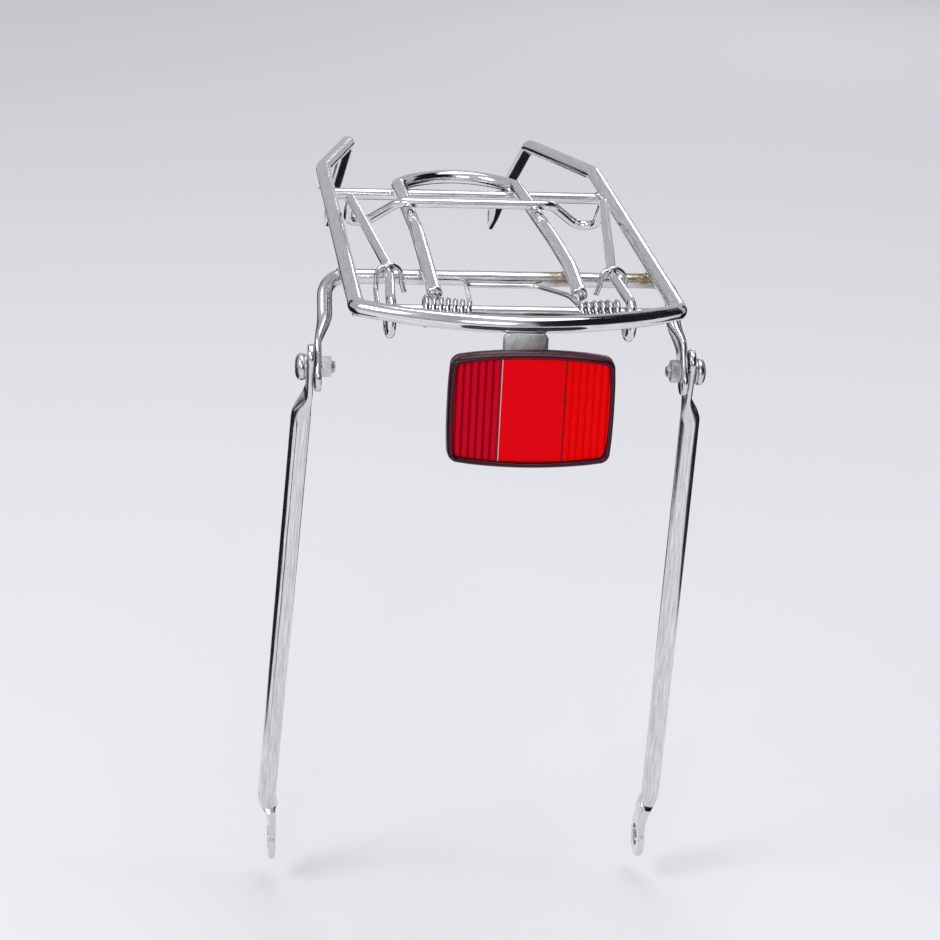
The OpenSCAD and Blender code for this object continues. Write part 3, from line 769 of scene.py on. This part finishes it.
def quadrant(w, h, r=4.2, arch=2.4, bulge=0.8, n=14):
    """Upper right quarter of a rounded rectangle with slightly arched edges, from its top middle."""
    cx, cz = w / 2 - bulge, h / 2 - arch
    across, up = cx - 2 * r, cz - 2 * r
    top = [vec(across * k / n, h / 2 - arch * (2 * across * k / n / w) ** 2, 0) for k in range(n + 1)]
    side = [vec(w / 2 - bulge * (2 * up * k / n / h) ** 2, up * k / n, 0) for k in range(n, -1, -1)]
    return top + bend(top[-1], (cx, cz, 0), side[0], r, 10) + side


def outline(w, h):
    """The whole shape as (x, z) points, anticlockwise as seen from the rear."""
    q = quadrant(w, h, max(1.4, 4.2 - (LENS_W - w) / 2))
    loop = [(p[0], p[1]) for p in q] + [(p[0], -p[1]) for p in q[-2::-1]]
    loop += [(-p[0], -p[1]) for p in q[1:]] + [(-p[0], p[1]) for p in q[-2:0:-1]]
    return loop[::-1]


def block(rows):
    """Stacks outlines given as (y, width, height), from the front (lowest y) to the back."""
    shell = Shell()
    rings = []
    for y, w, h in rows:
        pts = [vec(LENS_X + x, y, LENS_Z + z) for x, z in outline(w, h)]
        rings.append(shell.ring(list(reversed(pts)), y * MM))
    shell.stack(rings, len(pts))
    return shell


FACE_W, FACE_H, FACE_UP = LENS_W - 4.2, LENS_H - 3.8, 0.5
SPLIT, RIB = 11.8, 2.72                 # half the width of the middle panel, and the pitch of the ribs
FACE_ROWS = 44


def face_columns():
    """Where the face's columns of points stand: close together, and closer still at the splits and ends."""
    cols = set(round(x, 3) for x in np.arange(-FACE_W / 2 + 0.9, FACE_W / 2 - 0.89, 0.2267))
    for s in (-1, 1):
        cols |= {round(s * (SPLIT + o), 3) for o in (-0.25, 0.0, 0.3, 0.55)}
        cols |= {round(s * (FACE_W / 2 - o), 3) for o in (0.02, 0.1, 0.25, 0.45, 0.7)}
    return sorted(cols)


def lens_face(front):
    """The moulded face: a ribbed panel on each side of a raised, finely prismatic middle."""
    q = quadrant(FACE_W, FACE_H, 3.0)
    qx, qz = [p[0] for p in q], [p[1] for p in q]
    cols = face_columns()
    shell, shade = Shell(), []

    def point(x, y, z, look):
        shell.verts.append((LENS_X + x, y, LENS_Z + FACE_UP + z))
        shell.uvs.append((x * MM, z * MM))
        shade.append(look)              # painted shade, painted shade over the left side, painted highlight

    for x in cols:
        reach = float(np.interp(abs(x), qx, qz))
        ribbed = abs(x) > SPLIT + 0.4
        phase = (abs(x) - SPLIT - 0.4) / RIB % 1.0 if ribbed else 0.0
        lift = 0.75 * math.sin(math.pi * phase) ** 0.7 if ribbed else 0.85 if abs(x) <= SPLIT else -0.3
        # painted shade in the valleys between the ribs, deeper on the left panel than on the right
        dark = (0.85 if x < 0 else 0.22) * (0.5 + 0.5 * math.cos(2 * math.pi * phase)) ** 1.6 if ribbed else 0.0
        # painted shade along the right split
        if SPLIT < x < SPLIT + 0.4:
            dark = 0.75
        # painted shade over the left side, less over the middle, none on the right
        side_shade = 0.0 if x > SPLIT else 0.35 if x > -SPLIT else 0.9
        # a painted highlight along the left split
        glint = 0.9 if -SPLIT - 0.5 < x < -SPLIT + 0.1 else 0.0
        for k in range(FACE_ROWS + 1):
            v = -1 + 2 * k / FACE_ROWS
            near = 1 - max(0.0, (abs(v) - 0.97) / 0.03)
            point(x, front + 1.25 - max(-0.3, lift) * min(1.0, near + 0.25), v * reach, (dark, side_shade, glint))
    n = FACE_ROWS + 1
    for i in range(len(cols) - 1):
        for j in range(n - 1):
            a = i * n + j
            shell.faces.append((a, a + n, a + n + 1, a + 1))
    first = len(shell.verts)            # a flat back closes the face, set half dark as painted shade
    for x in cols:
        for v in (-1, 1):
            point(x, front + 2.4, v * float(np.interp(abs(x), qx, qz)), (0.5, 0.0, 0.0))
    last = len(cols) - 1
    for i in range(last):
        b = first + 2 * i
        shell.faces += [(b, b + 1, b + 3, b + 2), (i * n, b, b + 2, (i + 1) * n),
                        (i * n + n - 1, (i + 1) * n + n - 1, b + 3, b + 1)]
    shell.faces.append(tuple([j for j in range(n)] + [first + 1, first]))
    shell.faces.append(tuple([last * n + j for j in reversed(range(n))] + [first + 2 * last, first + 2 * last + 1]))
    obj = mesh_object("reflector_lens_face", shell)
    for k, name in enumerate(("dark", "side_shade", "glint")):
        values = obj.data.attributes.new(name, "FLOAT", "POINT").data
        for i, look in enumerate(shade):
            values[i].value = look[k]
    finish_piece(obj, "rack", LENS_RED, (), angle=30)


def reflector():
    """Rim and housing, each a stack of outlines given by how much smaller than the lens they are."""
    back, front = PLATE_Y - 9, PLATE_Y - 15.6
    rim = block([(y, LENS_W - less, LENS_H - less) for y, less in (
        (front + 1.3, 4.6), (front + 0.5, 4.0), (front + 0.1, 3.4), (front, 2.9), (front, 2.1), (front + 0.25, 1.3),
        (front + 0.8, 0.6), (front + 1.8, 0.2), (back - 1.2, 0), (back - 0.4, 0), (back, 0.8))])
    finish_piece(mesh_object("reflector_lens_rim", rim), "rack", RIM_RED, ["reflector_lens"], angle=50)
    lens_face(front)

    shell = block([(y, LENS_W - less, LENS_H - less) for y, less in (
        (back, 3.6), (back + 0.3, 3), (PLATE_Y - 4.6, 3), (PLATE_Y - 3.6, 4), (PLATE_Y - 3.1, 5.6),
        (PLATE_Y - 3, 7.5))])
    boss = [(0, 6.2), (0.9, 7.4), (1.2, 6.9), (1.8, 6.55), (4.0, 6.4), (4.2, 6.2)]
    lathe(shell, (0, PLATE_Y - 4.2, LENS_Z), (0, 1, 0), boss, 48)
    finish_piece(mesh_object("reflector_housing_shell", shell), "rack", BLACK, ["reflector_housing"])


def bracket():
    """A plate with rounded corners and softened edges."""
    outer = [(-8.5, -40.1), (8.5, -40.1), (8.5, -2.7), (-8.5, -2.7)]
    pts = []
    for i in range(4):
        a, b, c = (vec(*outer[(i + k) % 4], 0) for k in (-1, 0, 1))
        pts += bend(a, b, c, 2.4, 8)
    centre = sum(pts) / len(pts)
    shell = Shell()
    rings = []
    for depth, inset in ((0, 0.35), (0.1, 0.1), (0.35, 0), (1.65, 0), (1.9, 0.1), (2, 0.35)):
        y = PLATE_Y + depth
        inner = [p - unit(p - centre) * inset for p in reversed(pts)]
        rings.append(shell.ring([vec(q[0], y, q[1]) for q in inner], y * MM))
    shell.stack(rings, len(pts))
    obj = mesh_object("reflector_bracket_plate", shell)
    cut(obj, hole((0, PLATE_Y + 1, LENS_Z), (0, 1, 0), BOLT_BORE, 6))
    finish_piece(obj, "rack", PLATE_CHROME, ["reflector_bracket"],
                 stains=[(vec(0, PLATE_Y + 1, -3), vec(8, 4, 3), 0.35)])


def reflector_fasteners():
    plain, pitch = 6.5, thread(0.8, 0.35)
    profile = [(0, 2.3), (0, 2.5), (plain, 2.5)] + [(6.6 + 0.1 * k, 2.5 if k < 74 else 2.1) for k in range(81)]
    shell = lathe(Shell(), (0, PLATE_Y - 6, LENS_Z), (0, 1, 0), profile, 36,
                  lambda r, ang, along: pitch(r, ang, along) if along > plain else r)
    finish_piece(mesh_object("reflector_stud_m5", shell), "rack", SCREW_ZINC, ["reflector_stud"], angle=40)
    shell = washer(Shell(), (0, PLATE_Y + 2, LENS_Z), (0, 1, 0), 10.0, BOLT_BORE, 1.0)
    finish_piece(mesh_object("reflector_washer_m5", shell), "rack", WASHER_ZINC, ["reflector_washer"])
    shell = nut(Shell(), (0, PLATE_Y + 3, LENS_Z), (0, 1, 0), 5.0, phase=math.radians(30))
    finish_piece(mesh_object("reflector_nut_m5", shell), "rack", NUT_ZINC, ["reflector_nut"], angle=25)


# ---------------------------------------------------------------- build

main_frame()
straight("front_crossbar_rod", BAR_D, BAR_Y, BAR_Z, HALF, "front_crossbar", BAR_CHROME,
         [(vec(x, BAR_Y, BAR_Z + 2), vec(5, 5, 4), 0.25) for x in BAR_WELDS])
straight("hinge_axle_rod", AXLE_D, AXLE_Y, AXLE_Z, HALF + 0.5, "hinge_axle", BAR_CHROME)
bridge_bar()
support_hoop()
weld_beads()
torsion_spring()
clip_wire()
for side, name in ((-1, "spring_leg_left"), (1, "spring_leg_right")):
    wire = mesh_object(name + "_wire", rod(Shell(), spring_leg(side), SPRING_D, n=16, soft=0.25))
    finish_piece(wire, "clip", SPRING_STEEL, [name])
    strut(side)
strut_bolts()
fasteners()
reflector()
bracket()
reflector_fasteners()

# ---------------------------------------------------------------- studio

FLOOR_Z = cad_box[0][2] - 0.012           # the struts reach lower as they swing through the vertical


def plane(name, size, place, turn, colour, rough, card=False):
    mesh = bpy.data.meshes.new(name)
    a, b = size[0] / 2, size[1] / 2
    mesh.from_pydata([(-a, -b, 0), (a, -b, 0), (a, b, 0), (-a, b, 0)], [], [(0, 1, 2, 3)])
    obj = bpy.data.objects.new(name, mesh)
    bpy.context.scene.collection.objects.link(obj)
    obj.location, obj.rotation_euler = place, [math.radians(t) for t in turn]
    m = Nodes(name)
    m.set(Base_Color=(*colour, 1), Roughness=rough, Specular_IOR_Level=0.0)
    mesh.materials.append(m.mat)
    if card:                            # a dark card that only reflections see
        obj.visible_camera = obj.visible_shadow = obj.visible_diffuse = False


def area(name, place, size, power):
    """A rectangular lamp that faces the middle of the rack."""
    light = bpy.data.lights.new(name, "AREA")
    light.shape, light.size, light.size_y, light.energy = "RECTANGLE", size[0], size[1], power
    obj = bpy.data.objects.new(name, light)
    bpy.context.scene.collection.objects.link(obj)
    obj.location = place
    obj.rotation_euler = (Vector(TARGET) - Vector(place)).to_track_quat("-Z", "Y").to_euler()
    return obj


TARGET = (0, 0, 0.25)
DARK = (0.015, 0.015, 0.017)
LOW = FLOOR_Z + 0.004                   # cards that lie just over the floor
plane("floor", (40, 40), (0, 0, FLOOR_Z), (0, 0, 0), (0.82, 0.82, 0.85), 0.6)
for name, size, place, turn in (
        ("card_left", (0.6, 1.6), (-1.25, 1.3, 0.5), (90, 0, 45)),
        ("card_right", (0.6, 1.6), (1.45, 1.2, 0.5), (90, 0, -50)),
        ("card_behind", (4.0, 2.2), (2.45, -2.2, 1.1), (90, 0, 0)),
        ("card_line", (3.4, 0.1), (-1.25, -2.2, 0.32), (90, 0, 0)),
        ("card_side", (2.8, 3.0), (1.31, -0.92, 1.5), (90, 0, 55)),
        ("card_above", (1.8, 2.6), (1.7, -0.2, 2.6), (0, 0, 0)),
        ("card_floor_left", (1.3, 1.9), (-0.85, 0.8, LOW), (0, 0, 0)),
        ("card_floor_right", (1.3, 1.9), (0.95, 0.8, LOW), (0, 0, 0)),
        ("card_floor_under", (0.36, 0.5), (0.05, 0.5, LOW), (0, 0, 0))):
    plane(name, size, place, turn, DARK, 0.5, card=True)
area("key", (-1.5, -0.9, 1.5), (0.8, 0.8), 14)
area("top", (0.15, 0.1, 2.1), (1.5, 0.7), 12)
area("front", (-0.35, -2.4, 1.25), (0.8, 0.7), 9)
area("fill", (1.8, -0.4, 0.9), (0.6, 0.8), 5).visible_glossy = False
area("back", (0.75, 2.4, 0.72), (0.35, 0.3), 2)

world = bpy.data.worlds.new("studio")
world.use_nodes = True
world.node_tree.nodes["Background"].inputs["Color"].default_value = (0.86, 0.87, 0.9, 1)
world.node_tree.nodes["Background"].inputs["Strength"].default_value = 0.6
bpy.context.scene.world = world
bpy.context.scene.view_settings.view_transform = "Standard"

# ---------------------------------------------------------------- camera

YAW, PITCH, ROLL = math.radians(-7.112), math.radians(19.523), math.radians(2.894)
forward = vec(-math.sin(YAW) * math.cos(PITCH), math.cos(YAW) * math.cos(PITCH), -math.sin(PITCH))
level = vec(math.cos(YAW), math.sin(YAW), 0)
upward = np.cross(level, forward)
right = math.cos(ROLL) * level + math.sin(ROLL) * upward
top = -math.sin(ROLL) * level + math.cos(ROLL) * upward

cam = bpy.data.cameras.new("camera")
cam.lens, cam.sensor_width = 107.2, 36.0
camera = bpy.data.objects.new("camera", cam)
bpy.context.scene.collection.objects.link(camera)
turn = np.eye(4)
turn[:3, 0], turn[:3, 1], turn[:3, 2] = right, top, -forward
turn[:3, 3] = (-0.14219, -1.12382, 0.57609)
camera.matrix_world = Matrix([tuple(row) for row in turn])
bpy.context.scene.camera = camera
